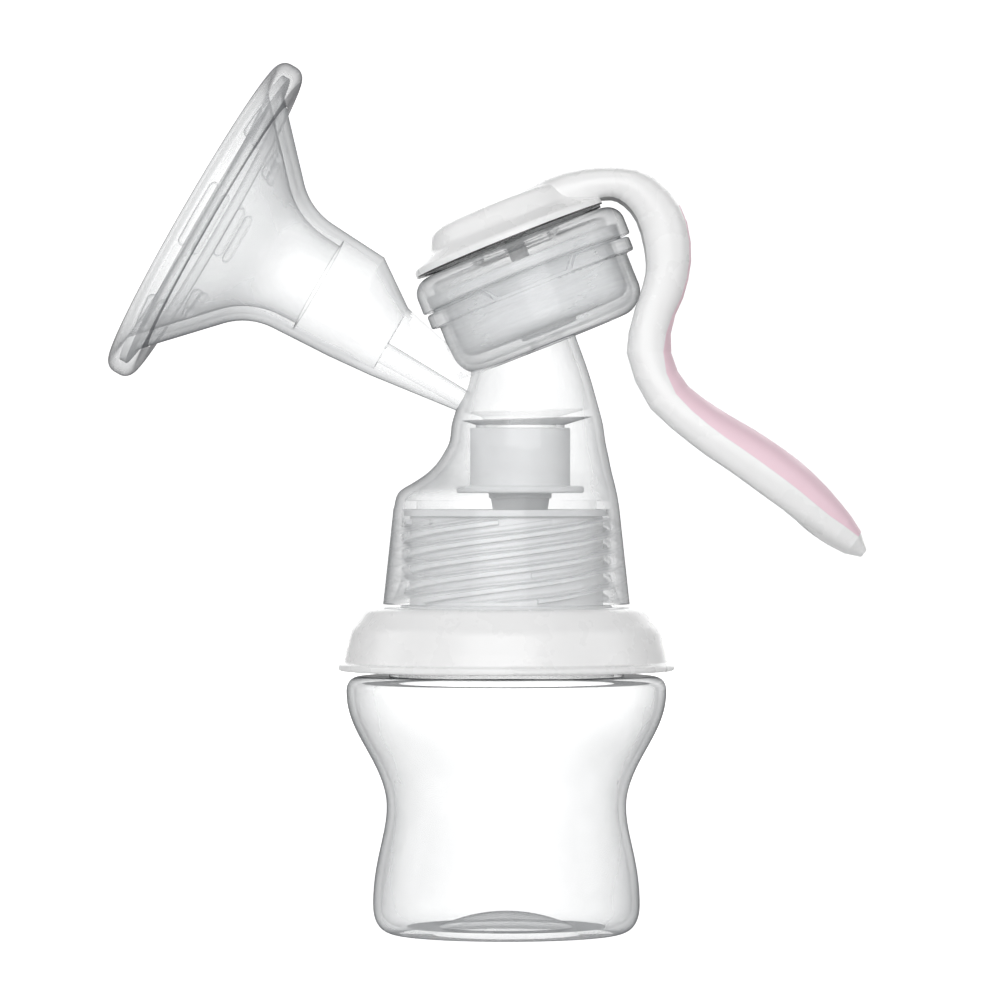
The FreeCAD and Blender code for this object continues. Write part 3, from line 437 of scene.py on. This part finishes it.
def body_axis(centre):
    if centre.x < FUNNEL_END_X and centre.z > FUNNEL_FOOT_Z:
        return FUNNEL, FUNNEL_AXIS
    if (centre - CHAMBER).dot(CHAMBER_AXIS) > -BOWL_DEPTH and centre.z > BOWL_FOOT_Z:
        return CHAMBER, CHAMBER_AXIS
    return Vector(), UP


mark_inner("bottle", bottle_axis)
mark_inner("pump_body", body_axis)
mark_inner("diaphragm_cap", chamber_axis)


# ---------------------------------------------------------------- funnel liner
def make_liner():
    """The liner without the faces that press on the body, where no air is left and nothing shows.

    Each face keeps how far it stands out as a pad, so that the pads can be seen through the wall.
    """
    mesh = nodes["breast_cushion"].data.copy()
    liner = bpy.data.objects.new("funnel_liner", mesh)
    bpy.context.scene.collection.objects.link(liner)
    form = bmesh.new()
    form.from_mesh(mesh)
    lift = form.faces.layers.float.new(PAD)
    hard = BVHTree.FromObject(nodes["pump_body"], bpy.context.evaluated_depsgraph_get())
    pressed = []
    for face in form.faces:
        centre = face.calc_center_median()
        away = hard.find_nearest(centre)[3]
        out = centre - FUNNEL
        along = out.dot(FUNNEL_AXIS)
        radius = (out - FUNNEL_AXIS * along).length
        if away < 2.5 * SEAT_GAP:
            pressed.append(face)
        elif radius < PAD_FIELD_R:
            face[lift] = max(0.0, (away - SEAT_GAP - LINER_WALL) / PAD_HEIGHT)
    bmesh.ops.delete(form, geom=pressed, context="FACES")
    form.to_mesh(mesh)
    form.free()
    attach(liner, "pump")
    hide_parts("breast_cushion")


make_liner()


# ---------------------------------------------------------------- diaphragm, copied into an object of its own
# The stretch that bends lies between 6.5 and 16.8 mm below the chamber's centre, along its axis
diaphragm = bpy.data.objects.new("diaphragm_membrane", nodes["diaphragm"].data.copy())
bpy.context.scene.collection.objects.link(diaphragm)
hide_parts("diaphragm")
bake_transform(diaphragm)


# ---------------------------------------------------------------- studio
def make_backdrop():
    """Floor that curves up into a far wall on every side, so there is no horizon line."""
    mesh = bpy.data.meshes.new("backdrop")
    form = bmesh.new()
    rings = []
    for radius, height in PAPER_PROFILE:
        ring = []
        for i in range(PAPER_SIDES):
            a = 2 * math.pi * i / PAPER_SIDES
            ring.append(form.verts.new((radius * math.cos(a), radius * math.sin(a), height)))
        rings.append(ring)
    middle = form.verts.new((0, 0, 0))
    for i in range(PAPER_SIDES):
        after = (i + 1) % PAPER_SIDES
        form.faces.new((middle, rings[0][i], rings[0][after]))
        for inner, outer in zip(rings, rings[1:]):
            form.faces.new((inner[i], outer[i], outer[after], inner[after]))
    form.to_mesh(mesh)
    form.free()
    for face in mesh.polygons:
        face.use_smooth = True
    backdrop = bpy.data.objects.new("backdrop", mesh)
    bpy.context.scene.collection.objects.link(backdrop)
    mesh.materials.append(paper_material())


def paper_material():
    """Grey paper that the camera and mirrors see as white, brighter far from the object."""
    material, tree = new_material("backdrop_paper")
    paper = add(tree, "ShaderNodeBsdfDiffuse", Color=PAPER)
    reach = tree.nodes.new("ShaderNodeVectorMath")
    reach.operation = "LENGTH"
    link(tree, object_place(tree), reach.inputs[0])
    away = math_node(tree, "DIVIDE", reach.outputs["Value"], PAPER_REACH)
    far = ramp(tree, away, [(0.1, FLOOR_GLOW), (0.5, 1.0)])
    rays = tree.nodes.new("ShaderNodeLightPath")
    mirrored = math_node(tree, "MULTIPLY", rays.outputs["Is Glossy Ray"], GLOSS_GLOW)
    seen = math_node(tree, "MAXIMUM", rays.outputs["Is Camera Ray"], mirrored)
    seen = math_node(tree, "MAXIMUM", seen, rays.outputs["Is Transmission Ray"])
    glow = add(tree, "ShaderNodeEmission", Color=(1, 1, 1, 1))
    link(tree, math_node(tree, "MULTIPLY", seen, far), glow.inputs["Strength"])
    both = tree.nodes.new("ShaderNodeAddShader")
    link(tree, paper.outputs[0], both.inputs[0])
    link(tree, glow.outputs[0], both.inputs[1])
    finish_material(tree, both.outputs[0])
    return material


def soft_light(name, where, size, power):
    light = bpy.data.lights.new(name, "AREA")
    light.shape = "RECTANGLE"
    light.size, light.size_y = size
    light.energy = power
    lamp = bpy.data.objects.new(name, light)
    bpy.context.scene.collection.objects.link(lamp)
    lamp.location = where
    lamp.rotation_euler = (Vector(LAMP_AIM) - Vector(where)).to_track_quat("-Z", "Y").to_euler()


def make_world():
    world = bpy.data.worlds.new("studio")
    bpy.context.scene.world = world
    world.use_nodes = True
    background = world.node_tree.nodes["Background"]
    background.inputs["Color"].default_value = (1, 1, 1, 1)
    background.inputs["Strength"].default_value = WORLD_STRENGTH


def make_camera():
    data = bpy.data.cameras.new("camera")
    data.sensor_width = CAMERA_SENSOR
    data.lens = CAMERA_LENS
    data.clip_end = CAMERA_END
    camera = bpy.data.objects.new("camera", data)
    bpy.context.scene.collection.objects.link(camera)
    camera.location = CAMERA_AT
    camera.rotation_euler = (CAMERA_AIM - CAMERA_AT).to_track_quat("-Z", "Y").to_euler()
    bpy.context.scene.camera = camera


make_backdrop()
for lamp in LAMPS:
    soft_light(*lamp)
make_world()
make_camera()
bpy.context.scene.view_settings.view_transform = "Standard"
